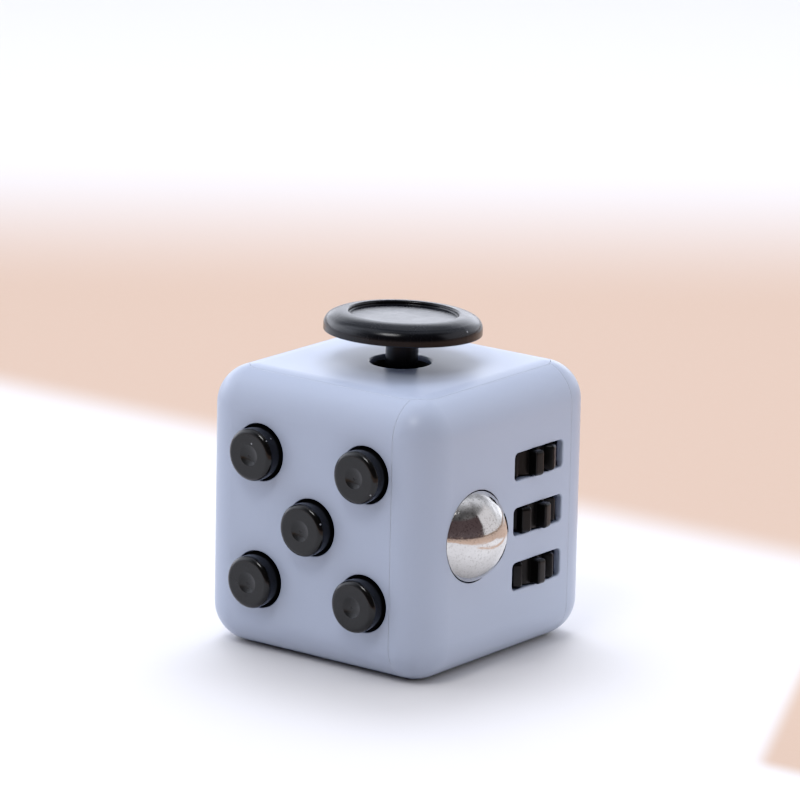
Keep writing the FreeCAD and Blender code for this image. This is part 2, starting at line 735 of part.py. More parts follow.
def joystick_cap():
    """Finger disc: upright wall, broad rounded rim, flat-floored dish."""
    low = HEIGHT + CAP_DISC_LIFT
    top = low + CAP_DISC_HEIGHT
    reach = CAP_DISC_RADIUS
    crest = CAP_CREST_RADIUS
    floor = top - CAP_DISH_DEPTH
    foot = 0.12
    side_r = reach - CAP_SIDE_ROUND
    turn = math.degrees(math.acos((side_r - crest) / (CAP_CROWN_ROUND - CAP_SIDE_ROUND)))
    crown_z = top - CAP_CROWN_ROUND
    side_z = crown_z + (CAP_CROWN_ROUND - CAP_SIDE_ROUND) * math.sin(math.radians(turn))
    lip_z = top - CAP_LIP_ROUND
    wall_r = crest - CAP_LIP_ROUND
    crease_r = wall_r - CAP_CREASE_ROUND
    crease_z = floor + CAP_CREASE_ROUND
    disc = turned(
        [
            (0, low),
            (reach - foot, low),
            (*on_arc(reach - foot, low + foot, foot, -45), reach, low + foot),
            (reach, side_z),
            (*on_arc(side_r, side_z, CAP_SIDE_ROUND, turn / 2), *on_arc(side_r, side_z, CAP_SIDE_ROUND, turn)),
            (*on_arc(crest, crown_z, CAP_CROWN_ROUND, (turn + 90) / 2), crest, top),
            (*on_arc(crest, lip_z, CAP_LIP_ROUND, 135), wall_r, lip_z),
            (*on_arc(crease_r, crease_z, CAP_CREASE_ROUND, -45), crease_r, floor),
            (0, floor),
        ]
    )
    return leaning(disc.cut(rod_z(SPIGOT_RADIUS + SNUG, low - 1, low + SPIGOT_LENGTH + RUNNING, 0, 0)))


# ---------------------------------------------------------------- flip face (+Y)
FLIP_FEET = 10.2  # screw height from the cube's middle
FEET_Y0 = 12.0
FEET_Y1 = 13.0
FLOOR_Y0 = 8.8
FLOOR_Y1 = 9.8
HUB_RADIUS = 2.0
NOTCH_RADIUS = 0.45
LEAF_BUMP_RADIUS = 0.4
LEAF_THICKNESS = 0.2
LEAF_Y = ROCKER_PIVOT_Y - HUB_RADIUS - 0.05  # centre of the leaf's bump


def flip_panel(blank):
    pilot = 2.0
    panel = spun(blank, 180)
    panel = panel.fuse(spun(lap_tab(MID_Z - TAB_HALF, MID_Z + TAB_HALF), 180))
    opening_half = ROCKER_WIDTH / 2 + 0.1
    opening = rod_x(ROCKER_RADIUS + 0.08, -opening_half, opening_half, ROCKER_PIVOT_Y, MID_Z)
    panel = panel.cut(opening)
    for sign in (1, -1):
        place = V(0, INNER, MID_Z + sign * FLIP_FEET)
        body, hole = screw_boss(V(0, -1, 0), place, INNER - FEET_Y1, pilot)
        panel = panel.fuse(body).cut(hole)
    return panel.removeSplitter()


def flip_switch():
    """Rocker with a shallow V finger surface, rounded ends and a notched hub."""
    half = ROCKER_WIDTH / 2
    y = ROCKER_PIVOT_Y
    back = 0.8  # the body starts this far in front of the pin
    edge = 0.35
    run = 12  # the crown's cutting shape reaches past the rocker's ends
    far = 20
    body = rod_x(ROCKER_RADIUS, -half, half, y, MID_Z)
    body = body.cut(box(-half - 1, half + 1, y - far, y + back, MID_Z - far, MID_Z + far))
    rise = run * math.tan(math.radians(ROCKER_SLOPE))
    crown = [
        V(-half - 1, y + ROCKER_VALLEY, MID_Z),
        V(-half - 1, y + ROCKER_VALLEY + rise, MID_Z + run),
        V(-half - 1, y + far, MID_Z + run),
        V(-half - 1, y + far, MID_Z - run),
        V(-half - 1, y + ROCKER_VALLEY + rise, MID_Z - run),
    ]
    body = body.cut(Part.Face(Part.makePolygon(crown + crown[:1])).extrude(V(2 * half + 2, 0, 0)))
    body = body.makeFillet(edge, [e for e in body.Edges if e.BoundBox.YMin > y + ROCKER_VALLEY + 0.5])
    hub = rod_x(HUB_RADIUS, -half, half, y, MID_Z)
    body = body.fuse(hub)
    for angle in (-ROCKER_TILT, ROCKER_TILT):
        notch = rod_x(NOTCH_RADIUS, -half - 1, half + 1, y - HUB_RADIUS, MID_Z)
        body = body.cut(spun(notch, angle, V(0, y, MID_Z), X_AXIS))
    body = body.cut(rod_x(PIN_RADIUS + RUNNING, -half - 1, half + 1, y, MID_Z))
    return spun(body.removeSplitter(), -ROCKER_TILT, V(0, y, MID_Z), X_AXIS)


def flip_bracket():
    """Yoke that carries the rocker's pin, with the leaf's end rests."""
    ear_in = ROCKER_WIDTH / 2 + 0.2
    ear_out = ear_in + 1.3
    ear_half = 2.4
    frame_half = 8.6
    upright_in = frame_half - 1.0
    upright_half = 3
    rest_near = 4.6
    rest_far = 5.8
    rest_half = 2.4
    frame = box(-ear_out, ear_out, FLOOR_Y0, FLOOR_Y1, MID_Z - frame_half, MID_Z + frame_half)
    for side in (1, -1):
        x0, x1 = sorted((side * ear_in, side * ear_out))
        frame = frame.fuse(box(x0, x1, FLOOR_Y0, INNER - 0.1, MID_Z - ear_half, MID_Z + ear_half))
        z0, z1 = sorted((MID_Z + side * upright_in, MID_Z + side * frame_half))
        frame = frame.fuse(box(-upright_half, upright_half, FLOOR_Y0, FEET_Y1, z0, z1))
        z0, z1 = sorted((MID_Z + side * upright_in, MID_Z + side * (FLIP_FEET + BOSS_RADIUS)))
        frame = frame.fuse(box(-BOSS_RADIUS, BOSS_RADIUS, FEET_Y0, FEET_Y1, z0, z1))
        z0, z1 = sorted((MID_Z + side * rest_near, MID_Z + side * rest_far))
        frame = frame.fuse(box(-rest_half, rest_half, FLOOR_Y1 - 0.1, LEAF_Y - LEAF_BUMP_RADIUS, z0, z1))
        hole = rod_y(SHANK_RADIUS + SCREW_SLACK, FEET_Y0 - 1, HALF, 0, MID_Z + side * FLIP_FEET)
        frame = frame.cut(hole)
    return frame.cut(rod_x(PIN_RADIUS + SNUG, -HALF, HALF, ROCKER_PIVOT_Y, MID_Z)).removeSplitter()


def switch_leaf_spring():
    half_width = 1.6
    half_length = 5.7
    low = LEAF_Y - LEAF_BUMP_RADIUS
    strip = box(-half_width, half_width, low, low + LEAF_THICKNESS, MID_Z - half_length, MID_Z + half_length)
    bump = rod_x(LEAF_BUMP_RADIUS, -half_width, half_width, LEAF_Y, MID_Z)
    return strip.fuse(bump).removeSplitter()


# ---------------------------------------------------------------- spin face (-X)
WHEEL_X0 = -INNER + 0.1
WHEEL_THICKNESS = 1.4
WHEEL_X1 = WHEEL_X0 + WHEEL_THICKNESS
LEAF_RISE = DETENT_RADIUS + 0.5
LEAF_POST_Y = 6.3


def spin_panel(blank):
    dial_gap = 0.2
    post_radius = 1.6
    post_length = 1.9
    slit_half = 2
    slit_gap = 0.03
    panel = spun(blank, 270)
    panel = panel.fuse(spun(lap_tab(MID_Z - TAB_HALF, MID_Z + TAB_HALF), 270))
    recess = rod_x(DIAL_RADIUS + dial_gap, -HALF - 1, -HALF + DIAL_RECESS, 0, MID_Z)
    panel = panel.cut(recess)
    panel = panel.makeFillet(0.2, circle_edges(panel, DIAL_RADIUS + dial_gap, -HALF, 0))
    panel = panel.cut(rod_x(DIAL_SHAFT_RADIUS + RUNNING, -HALF - 1, -INNER + 1, 0, MID_Z))
    for y in (-LEAF_POST_Y, LEAF_POST_Y):
        z = MID_Z + LEAF_RISE
        post = rod_x(post_radius, -INNER - 0.05, -INNER + post_length, y, z)
        slit = box(-INNER + 0.1, -INNER + post_length + 1, y - slit_half, y + slit_half,
                   z - slit_gap, z + LEAF_THICKNESS + slit_gap)
        panel = panel.fuse(post.cut(slit))
    return panel.removeSplitter()


def spin_dial():
    """Finger disc with an off-centre nub, on a shaft through the panel."""
    face = HALF + DIAL_STAND
    back = HALF - DIAL_RECESS + RUNNING
    edge = 0.5
    bend = edge * (1 - math.sqrt(0.5))
    rim_inner = DIAL_RADIUS - 1.5
    sunk = 0.35  # the floor inside the rim, also the width of its slope
    nub_radius = 1.9
    nub_edge = 0.6
    nub_top = face + 0.75
    nub_place = 4.3  # from the dial's centre
    screw_depth = 2.2
    disc = turned(
        [
            (0, -WHEEL_X1 + SNUG),
            (DIAL_SHAFT_RADIUS, -WHEEL_X1 + SNUG),
            (DIAL_SHAFT_RADIUS, back),
            (DIAL_RADIUS, back),
            (DIAL_RADIUS, face - edge),
            (DIAL_RADIUS - bend, face - bend, DIAL_RADIUS - edge, face),
            (rim_inner, face),
            (rim_inner - sunk, face - sunk),
            (0, face - sunk),
        ]
    )
    nub = rod_z(nub_radius, face - 0.5, nub_top, 0, nub_place)
    nub = nub.makeFillet(nub_edge, circle_edges(nub, nub_radius, nub_top, 2))
    disc = disc.fuse(nub)
    disc = disc.cut(rod_z(SHANK_RADIUS + SNUG, 0, -WHEEL_X1 + screw_depth, 0, 0))
    return stood(disc.removeSplitter(), V(-1, 0, 0), V(0, 0, MID_Z))


def dial_detent_wheel():
    scallop_radius = 0.7
    wheel = rod_x(DETENT_RADIUS, WHEEL_X0, WHEEL_X1, 0, MID_Z)
    for n in range(DETENT_COUNT):
        scallop = rod_x(scallop_radius, WHEEL_X0 - 1, WHEEL_X1 + 1, 0, MID_Z + DETENT_RADIUS)
        wheel = wheel.cut(spun(scallop, 360 / DETENT_COUNT * n, V(0, 0, MID_Z), X_AXIS))
    return wheel.cut(rod_x(DIAL_SHAFT_RADIUS + SNUG, WHEEL_X0 - 1, WHEEL_X1 + 1, 0, MID_Z))


def dial_leaf_spring():
    z = MID_Z + LEAF_RISE
    x0 = -INNER + 0.3
    x1 = x0 + 1.0
    half_length = 7.4
    bump_radius = 0.6
    strip = box(x0, x1, -half_length, half_length, z, z + LEAF_THICKNESS)
    bump = rod_x(bump_radius, x0, x1, 0, MID_Z + DETENT_RADIUS)
    return strip.fuse(bump.common(box(-HALF, 0, -2, 2, 0, z + 0.1))).removeSplitter()


# ---------------------------------------------------------------- breathe face (-Z)
def breathe_panel(outer):
    """Bottom cap with a stretched thumb dish, thickened behind the dish."""
    panel = cap_blank(outer, False)
    pod_x = 10.4
    pod_y = 8.4
    pod_corner = 4.0
    pod = box(-pod_x, pod_x, -pod_y, pod_y, WALL - 0.1, WALL + DISH_DEPTH)
    pod = pod.makeFillet(pod_corner, upright_edges(pod))
    panel = panel.fuse(pod)
    z = DISH_DEPTH - DISH_SPHERE_RADIUS
    x = DISH_HALF_STRETCH
    dish = ball(DISH_SPHERE_RADIUS, -x, 0, z)
    dish = dish.fuse([rod_x(DISH_SPHERE_RADIUS, -x, x, 0, z), ball(DISH_SPHERE_RADIUS, x, 0, z)])
    return panel.cut(dish).removeSplitter()


# ---------------------------------------------------------------- build every node
def build_housing():
    outer = outer_form()
    blank = side_blank(outer, cavity_form())
    add("glide_panel", glide_panel(outer))
    add("breathe_panel", breathe_panel(outer))
    add("click_panel", click_panel(blank))
    add("roll_panel", roll_panel(blank))
    add("flip_panel", flip_panel(blank))
    add("spin_panel", spin_panel(blank))


def build_click():
    base_y = -INNER + RUNNING + FLANGE_THICKNESS
    for name, (x, z) in button_places().items():
        add("click_button_" + name, stood(click_button(), V(0, -1, 0), V(x, base_y, z)))
    add("click_dome_pad", click_dome_pad())
    places = button_places()
    clicking = ["centre", "upper_left", "lower_right"]
    add("click_snap_domes", group([snap_dome(*places[name]) for name in clicking]))
    add("click_backplate", click_backplate())
    screws = []
    for x, z in click_screw_places():
        screws.append(stood(screw(length=3.6), V(0, -1, 0), V(x, PLATE_BACK, z)))
    add("click_screws", group(screws))


def build_roll():
    add("roll_ball", ball(BALL_RADIUS, BALL_X, BALL_Y, MID_Z))
    add("ball_carrier", ball_carrier())
    spring_length = CARRIER_BACK + SPRING_POCKET - SPRING_SEAT - 2 * RUNNING
    spring = coil(SPRING_RADIUS, SPRING_WIRE_RADIUS, SPRING_HALF_TURNS, spring_length)
    add("ball_spring", stood(spring, X_AXIS, V(SPRING_SEAT + RUNNING, BALL_Y, MID_Z)))
    for name, z in gear_levels().items():
        add("roll_gear_" + name, thumb_gear(z, GEAR_PHASES[name]))
    add("gear_axle", rod_z(AXLE_RADIUS, AXLE_LOW, MID_Z + ARM_OUTER[1], GEAR_X, GEAR_Y))
    add("roll_bracket", roll_bracket())
    screws = []
    for y, z in roll_screw_places():
        screws.append(stood(screw(length=3.0), X_AXIS, V(EAR_X0, y, z)))
    add("roll_screws", group(screws))


def build_glide():
    add("joystick_socket", joystick_socket())
    add("joystick_liner", joystick_liner())
    add("joystick_retainer", joystick_retainer())
    add("joystick_centring_pad", rod_z(PAD_RADIUS, PAD_LOW, PAD_TOP, 0, 0))
    add("joystick_stem", joystick_stem())
    add("joystick_cap", joystick_cap())
    screws = []
    for x, y in stick_screw_places():
        screws.append(moved(screw(length=3.2), x, y, SOCKET_BOTTOM - RETAINER_FLANGE))
    add("joystick_screws", group(screws))


def build_flip():
    add("flip_switch", flip_switch())
    pin_half = ROCKER_WIDTH / 2 + 1.5
    add("switch_pin", rod_x(PIN_RADIUS, -pin_half, pin_half, ROCKER_PIVOT_Y, MID_Z))
    add("switch_leaf_spring", switch_leaf_spring())
    add("flip_bracket", flip_bracket())
    screws = []
    for sign in (1, -1):
        place = V(0, FEET_Y0, MID_Z + sign * FLIP_FEET)
        screws.append(stood(screw(length=2.8), Y_AXIS, place))
    add("flip_screws", group(screws))


def build_spin():
    add("spin_dial", spin_dial())
    add("dial_detent_wheel", dial_detent_wheel())
    add("dial_leaf_spring", dial_leaf_spring())
    washer_radius = 3.2
    washer_x1 = WHEEL_X1 + 0.4
    washer = rod_x(washer_radius, WHEEL_X1, washer_x1, 0, MID_Z)
    washer = washer.cut(rod_x(SHANK_RADIUS + SCREW_SLACK, -HALF, 0, 0, MID_Z))
    add("dial_washer", washer)
    add("dial_screw", stood(screw(length=2.4), V(-1, 0, 0), V(washer_x1, 0, MID_Z)))


build_housing()
build_click()
build_roll()
build_glide()
build_flip()
build_spin()

os.makedirs("parts", exist_ok=True)
for node, shape in parts.items():
    shape.exportStep("parts/" + node + ".step")
    print(node, "valid" if shape.isValid() else "INVALID", len(shape.Solids), round(shape.Volume, 2))
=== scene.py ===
import json
import math

import bmesh
import bpy
from mathutils import Matrix, Vector

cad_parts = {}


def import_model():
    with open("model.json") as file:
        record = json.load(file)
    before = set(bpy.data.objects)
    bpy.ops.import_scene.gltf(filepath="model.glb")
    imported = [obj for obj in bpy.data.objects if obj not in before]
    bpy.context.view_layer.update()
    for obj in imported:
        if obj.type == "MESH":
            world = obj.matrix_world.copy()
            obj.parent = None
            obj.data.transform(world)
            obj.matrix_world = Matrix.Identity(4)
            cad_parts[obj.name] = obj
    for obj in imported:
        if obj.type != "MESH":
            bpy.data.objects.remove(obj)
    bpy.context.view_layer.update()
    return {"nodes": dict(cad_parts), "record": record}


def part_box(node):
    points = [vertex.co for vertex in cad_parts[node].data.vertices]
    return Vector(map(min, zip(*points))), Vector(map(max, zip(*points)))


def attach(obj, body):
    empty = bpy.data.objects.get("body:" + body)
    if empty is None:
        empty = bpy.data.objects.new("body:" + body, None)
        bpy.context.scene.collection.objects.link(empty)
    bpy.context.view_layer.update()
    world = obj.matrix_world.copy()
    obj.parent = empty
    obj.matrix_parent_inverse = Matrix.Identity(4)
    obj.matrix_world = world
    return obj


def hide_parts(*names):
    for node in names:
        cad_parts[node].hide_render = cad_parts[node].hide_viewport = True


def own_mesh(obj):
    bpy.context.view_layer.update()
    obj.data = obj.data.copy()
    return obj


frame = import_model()

# Looks of the fidget cube. Metres, in the frame of the imported model: +Z up, the cube stands on z = 0,
# -Y click buttons, +X ball and thumb gears, +Z joystick, +Y rocker switch, -X dial, -Z dish.
# The CAD nodes keep their own shapes and get materials, apart from three. The coil spring and the
# dome pad are replaced by new pieces, each dome a piece of its own, and the joystick's pad by a
# coned one that leaves room for the stick.

MM = 0.001
nodes = frame["nodes"]
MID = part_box("glide_panel")[1].z / 2  # half the height of the cube


# ---------------------------------------------------------------- node-tree helper
RAYS = 6  # samples of each bevel and cavity lookup


class Tree:
    """A small wrapper that adds and links shader nodes in one call."""

    def __init__(self, owner):
        owner.use_nodes = True
        self.nodes = owner.node_tree.nodes
        self.links = owner.node_tree.links

    def add(self, kind, settings=None, **inputs):
        node = self.nodes.new("ShaderNode" + kind)
        for key, value in (settings or {}).items():
            setattr(node, key, value)
        for key, value in inputs.items():
            self.put(node, key, value)
        return node

    def put(self, node, key, value):
        """Sets an input by number (_0) or by name, to a value or to another node's output."""
        socket = node.inputs[int(key[1:])] if key[1:].isdigit() else node.inputs[key.replace("_", " ")]
        if isinstance(value, bpy.types.Node):
            value = value.outputs[0]
        if isinstance(value, bpy.types.NodeSocket):
            self.links.new(value, socket)
        elif hasattr(socket.default_value, "__len__") and len(value) == 3 and len(socket.default_value) == 4:
            socket.default_value = (*value, 1.0)
        else:
            socket.default_value = value

    def maths(self, operation, a, b=0.0):
        node = self.add("Math", {"operation": operation})
        self.put(node, "_0", a)
        self.put(node, "_1", b)
        return node.outputs[0]

    def blend(self, factor, a, b):
        """Colour a where the factor is 0 and colour b where it is 1."""
        node = self.add("Mix", {"data_type": "RGBA"})
        self.put(node, "_0", factor)
        self.put(node, "_6", a)
        self.put(node, "_7", b)
        return node.outputs[2]

    def ramp(self, value, low, high, out_low=0.0, out_high=1.0):
        """Maps low..high smoothly to out_low..out_high."""
        node = self.add("MapRange", {"interpolation_type": "SMOOTHSTEP"})
        for key, number in (("_0", value), ("_1", low), ("_2", high), ("_3", out_low), ("_4", out_high)):
            self.put(node, key, number)
        return node.outputs[0]

    def place(self, stretch=(1, 1, 1), turn=(0, 0, 0)):
        """Coordinates fixed to the piece, in metres, stretched and turned."""
        where = self.add("TexCoord").outputs["Object"]
        return self.add("Mapping", Vector=where, Scale=stretch, Rotation=turn).outputs[0]

    def noise(self, scale, detail=2.0, roughness=0.5, where=None):
        node = self.add("TexNoise", Scale=scale, Detail=detail, Roughness=roughness)
        self.put(node, "Vector", where or self.place())
        return node.outputs["Fac"]

    def scratches(self, scale, stretch, turn, width):
        """Fine hairlines: thin bands where a stretched noise crosses its middle value."""
        field = self.noise(scale, 1.0, 0.4, self.place(stretch, turn))
        off = self.maths("ABSOLUTE", self.maths("SUBTRACT", field, 0.5))
        return self.ramp(off, 0.0, width, 1.0, 0.0)

    def specks(self, scale, share, size):
        """Round specks: Voronoi cells, of which a share holds a dot of the given relative size."""
        node = self.add("TexVoronoi", Scale=scale)
        self.put(node, "Vector", self.place())
        dot = self.ramp(node.outputs["Distance"], size * 0.5, size, 1.0, 0.0)
        chosen = self.add("SeparateColor", Color=node.outputs["Color"]).outputs[0]
        return self.maths("MULTIPLY", dot, self.maths("LESS_THAN", chosen, share))

    def edges(self, radius):
        """1 on sharp edges and 0 on open faces, from how far a bevelled normal turns."""
        rounded = self.add("Bevel", {"samples": RAYS}, Radius=radius)
        plain = self.add("NewGeometry").outputs["Normal"]
        same = self.add("VectorMath", {"operation": "DOT_PRODUCT"}, _0=rounded, _1=plain)
        return self.ramp(same.outputs["Value"], 0.99, 0.8)

    def cavity_shade_mask(self, reach, open_share):
        """1 deep inside slots and gaps, 0 on open faces: the mask of painted shade."""
        seen = self.add("AmbientOcclusion", {"samples": RAYS}, Distance=reach).outputs["AO"]
        return self.ramp(seen, 0.1, open_share, 1.0, 0.0)

    def bumped(self, height, depth, strength=1.0, radius=None):
        """Normal from a height field of the given depth in metres, over slightly rounded edges."""
        node = self.add("Bump", Height=height, Strength=strength, Distance=depth)
        if radius:
            self.put(node, "Normal", self.add("Bevel", {"samples": RAYS}, Radius=radius))
        return node.outputs[0]


def material(name):
    made = bpy.data.materials.new(name)
    tree = Tree(made)
    return made, tree, tree.nodes["Principled BSDF"]


def finish(tree, shader, **inputs):
    """Sets inputs of the main shader by name."""
    for key, value in inputs.items():
        tree.put(shader, key, value)


# ---------------------------------------------------------------- materials
# The denoiser draws a hard edge where roughness crosses 0.27. So, scratches apart, the shell and the
# gears stay above that, and the cap and the buttons below it.
SHELL_TINTS = (0.378, 0.424, 0.53), (0.388, 0.433, 0.54)
SHELL_GRAIN = (0.5, 0.54, 0.64)
SHELL_EDGE_HIGHLIGHT = (0.7, 0.75, 0.86)
SHELL_PAINTED_SHADE = (0.05, 0.055, 0.075)
DUST = (0.33, 0.34, 0.36)
BALL_TINTS = (0.64, 0.625, 0.61), (0.7, 0.69, 0.675)
BALL_WEAR = (0.4, 0.385, 0.365)
BALL_PITS = (0.34, 0.32, 0.29)
WIPES = (  # stretch and turn of each family of scratches on the ball
    ((14, 1, 1), (0.9, 0.2, 0.5)),
    ((1, 1, 13), (0.5, 1.1, 0.7)),
    ((11, 1, 2), (1.4, 0.3, 1.0)),
)
TARNISH = (0.42, 0.38, 0.32)
BLOOM = (0.8, 0.8, 0.78)


def shell_material():
    """Satin-gloss moulded ABS, pale grey-blue, with a faint flow tint, fine grain, soft smudges, painted edge
    highlights and painted shade in slots and gaps.
    """
    made, t, shader = material("shell_abs")
    flow = t.noise(45.0, 3.0, 0.5)
    tint = t.blend(t.ramp(flow, 0.3, 0.7), *SHELL_TINTS)
    grain = t.noise(5200.0, 2.0)
    tint = t.blend(t.ramp(grain, 0.3, 0.7, 0.0, 0.04), tint, SHELL_GRAIN)
    # painted highlight: sharp edges and seams are lightened towards a pale blue, as if they caught the light
    tint = t.blend(t.maths("MULTIPLY", t.edges(0.09 * MM), 0.6), tint, SHELL_EDGE_HIGHLIGHT)
    # painted shade: slot walls, gaps and hole walls are darkened through an occlusion mask
    tint = t.blend(t.maths("MULTIPLY", t.cavity_shade_mask(1.1 * MM, 0.55), 0.8), tint, SHELL_PAINTED_SHADE)
    smudge = t.ramp(t.noise(90.0, 2.0, 0.5), 0.35, 0.75)
    rough = t.maths("ADD", t.maths("MULTIPLY", smudge, 0.05), 0.29)
    height = t.maths("ADD", t.noise(700.0, 2.0), t.maths("MULTIPLY", grain, 0.08))
    normal = t.bumped(height, 0.002 * MM, 0.5, 0.07 * MM)
    finish(t, shader, Base_Color=tint, Roughness=rough, IOR=1.35, Normal=normal,
           Subsurface_Weight=0.1, Subsurface_Radius=(0.9, 0.9, 1.0), Subsurface_Scale=0.6 * MM)
    return made


def black_material(name, tone, rough_low, rough_high, speck_share, ior):
    """Black moulded plastic: faint mottling, dust specks, hairlines, and lighter edges that are partly worn
    and partly a painted highlight.
    """
    made, t, shader = material(name)
    mottle = t.noise(420.0, 3.0, 0.6)
    base = t.blend(t.ramp(mottle, 0.3, 0.7), tone, tuple(1.5 * c for c in tone))
    # lighter edges: partly worn plastic, partly a painted highlight on ridges and rims
    worn_and_highlit = t.maths("MULTIPLY", t.edges(0.12 * MM), t.ramp(t.noise(900.0, 2.0), 0.35, 0.6, 0.15, 0.6))
    base = t.blend(worn_and_highlit, base, tuple(3.5 * c + 0.01 for c in tone))
    dust = t.maths("MAXIMUM", t.specks(1100.0, speck_share, 0.16), t.specks(600.0, speck_share * 0.5, 0.1))
    base = t.blend(t.maths("MULTIPLY", dust, 0.7), base, DUST)
    lines = t.maths("MAXIMUM", t.scratches(220.0, (1, 14, 1), (0.2, 0.5, 0.7), 0.006),
                    t.scratches(190.0, (15, 1, 1), (0.9, 0.1, 0.4), 0.005))
    lines = t.maths("MULTIPLY", lines, t.ramp(t.noise(260.0, 2.0), 0.48, 0.66))
    rough = t.ramp(t.noise(300.0, 4.0, 0.65), 0.3, 0.7, rough_low, rough_high)
    rough = t.maths("ADD", rough, t.maths("MULTIPLY", lines, 0.15))
    height = t.maths("ADD", t.noise(1800.0, 3.0), t.maths("MULTIPLY", dust, 0.6))
    height = t.maths("SUBTRACT", height, t.maths("MULTIPLY", lines, 0.6))
    normal = t.bumped(height, 0.005 * MM, 0.5, 0.06 * MM)
    finish(t, shader, Base_Color=base, Roughness=rough, IOR=ior, Normal=normal)
    return made


def chrome_material():
    """Polished steel ball with an uneven skin, fine wipe scratches, small pits and grey wear."""
    made, t, shader = material("ball_steel")
    cloud = t.noise(260.0, 3.0, 0.6)
    lines = t.scratches(300.0, (1, 12, 1), (0.3, 0.8, 0.1), 0.012)
    for stretch, turn in WIPES:
        lines = t.maths("MAXIMUM", lines, t.scratches(260.0, stretch, turn, 0.009))
    lines = t.maths("MULTIPLY", lines, t.ramp(cloud, 0.42, 0.62, 0.15, 1.0))
    pits = t.maths("MAXIMUM", t.specks(2300.0, 0.3, 0.24), t.specks(3900.0, 0.35, 0.3))
    wear = t.noise(3600.0, 4.0, 0.7)
    tint = t.blend(t.ramp(cloud, 0.3, 0.7), *BALL_TINTS)
    tint = t.blend(t.ramp(wear, 0.5, 0.72, 0.0, 0.75), tint, BALL_WEAR)
    tint = t.blend(t.maths("MULTIPLY", pits, 0.5), tint, BALL_PITS)
    rough = t.ramp(cloud, 0.35, 0.7, 0.03, 0.07)
    rough = t.maths("ADD", rough, t.maths("MULTIPLY", lines, 0.14))
    height = t.maths("ADD", t.maths("MULTIPLY", lines, -0.35), t.maths("MULTIPLY", pits, -0.8))
    height = t.maths("ADD", height, t.maths("MULTIPLY", t.noise(1500.0, 3.0, 0.6), 2.2))
    normal = t.bumped(height, 0.004 * MM, 0.8)
    finish(t, shader, Base_Color=tint, Metallic=1.0, Roughness=rough, Normal=normal)
    return made


def steel_material(name, tone, rough, stretch):
    """Drawn or plated steel, with marks along one direction and light tarnish."""
    made, t, shader = material(name)
    drawn = t.noise(900.0, 3.0, 0.6, t.place(stretch))
    tarnish = t.ramp(t.noise(350.0, 3.0), 0.45, 0.75)
    tint = t.blend(t.ramp(drawn, 0.3, 0.7), tuple(0.85 * c for c in tone), tone)
    tint = t.blend(t.maths("MULTIPLY", tarnish, 0.3), tint, TARNISH)
    spread = t.ramp(drawn, 0.3, 0.7, rough, rough + 0.14)
    normal = t.bumped(drawn, 0.004 * MM, 0.6, 0.04 * MM)
    finish(t, shader, Base_Color=tint, Metallic=1.0, Roughness=spread, Normal=normal)
    return made


def pale_material(name, tone, rough, through, transmission=0.0):
    """Natural acetal or silicone: milky, with soft mottling and a light bloom on the surface."""
    made, t, shader = material(name)
    milk = t.noise(300.0, 3.0, 0.6)
    tint = t.blend(t.ramp(milk, 0.3, 0.7), tone, tuple(0.88 * c for c in tone))
    bloom = t.specks(1600.0, 0.2, 0.18)
    tint = t.blend(t.maths("MULTIPLY", bloom, 0.3), tint, BLOOM)
    spread = t.ramp(t.noise(700.0, 2.0), 0.3, 0.7, rough, rough + 0.12)
    normal = t.bumped(milk, 0.006 * MM, 0.5, 0.05 * MM)
    finish(t, shader, Base_Color=tint, Roughness=spread, Normal=normal, Subsurface_Weight=through,
           Subsurface_Radius=(1.0, 1.0, 0.9), Subsurface_Scale=1.2 * MM, Transmission_Weight=transmission)
    return made


materials = {
    "shell": shell_material(),
    "black_gloss": black_material("button_black", (0.005, 0.005, 0.0046), 0.13, 0.2, 0.05, 1.5),
    "cap_black": black_material("cap_charcoal", (0.0028, 0.0032, 0.0045), 0.2, 0.265, 0.02, 1.5),
    "gear_black": black_material("gear_acetal", (0.005, 0.0047, 0.0044), 0.29, 0.38, 0.03, 1.42),
    "inner_black": black_material("inner_black", (0.006, 0.006, 0.0065), 0.45, 0.6, 0.01, 1.4),
    "liner_white": pale_material("natural_acetal", (0.78, 0.78, 0.74), 0.35, 0.25),
    "ball_chrome": chrome_material(),
    "silicone": pale_material("grey_silicone", (0.3, 0.31, 0.33), 0.45, 0.4, 0.2),
    "spring_steel": steel_material("spring_steel", (0.62, 0.62, 0.62), 0.22, (1, 1, 6)),
    "bright_steel": steel_material("zinc_steel", (0.68, 0.69, 0.7), 0.28, (1, 1, 1)),
}

for subpart in frame["record"]["subparts"]:
    piece = nodes[subpart["node"]]
    for place in piece.material_slots:
        place.material = materials[subpart["material_slot"]]


# ---------------------------------------------------------------- soft parts
WIRE_RADIUS = 0.28 * MM
COIL_RADIUS = 2.6 * MM  # to the middle of the wire
COIL_TURNS = 3.5
COIL_STEPS = 168
WIRE_SIDES = 12
PAD_SHEET = 0.5 * MM  # thickness of the sheet that carries the domes
DOME_REACH = 3.6 * MM  # a little more than a dome's radius
WELD = 0.001 * MM
CONE_SIDES = 64
CONE_SLOPE = 0.3  # drop of the pad's top over its radius
CONE_CLEARANCE = 0.2 * MM  # between the pad's tip and the CAD pad's top


def soft_piece(name, stands_for, paint, mesh):
    """A new mesh object on the housing, shown in place of a CAD node."""
    made = bpy.data.objects.new(name, mesh)
    bpy.context.scene.collection.objects.link(made)
    mesh.materials.clear()
    mesh.materials.append(materials[paint])
    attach(made, "housing")
    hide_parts(stands_for)
    return made


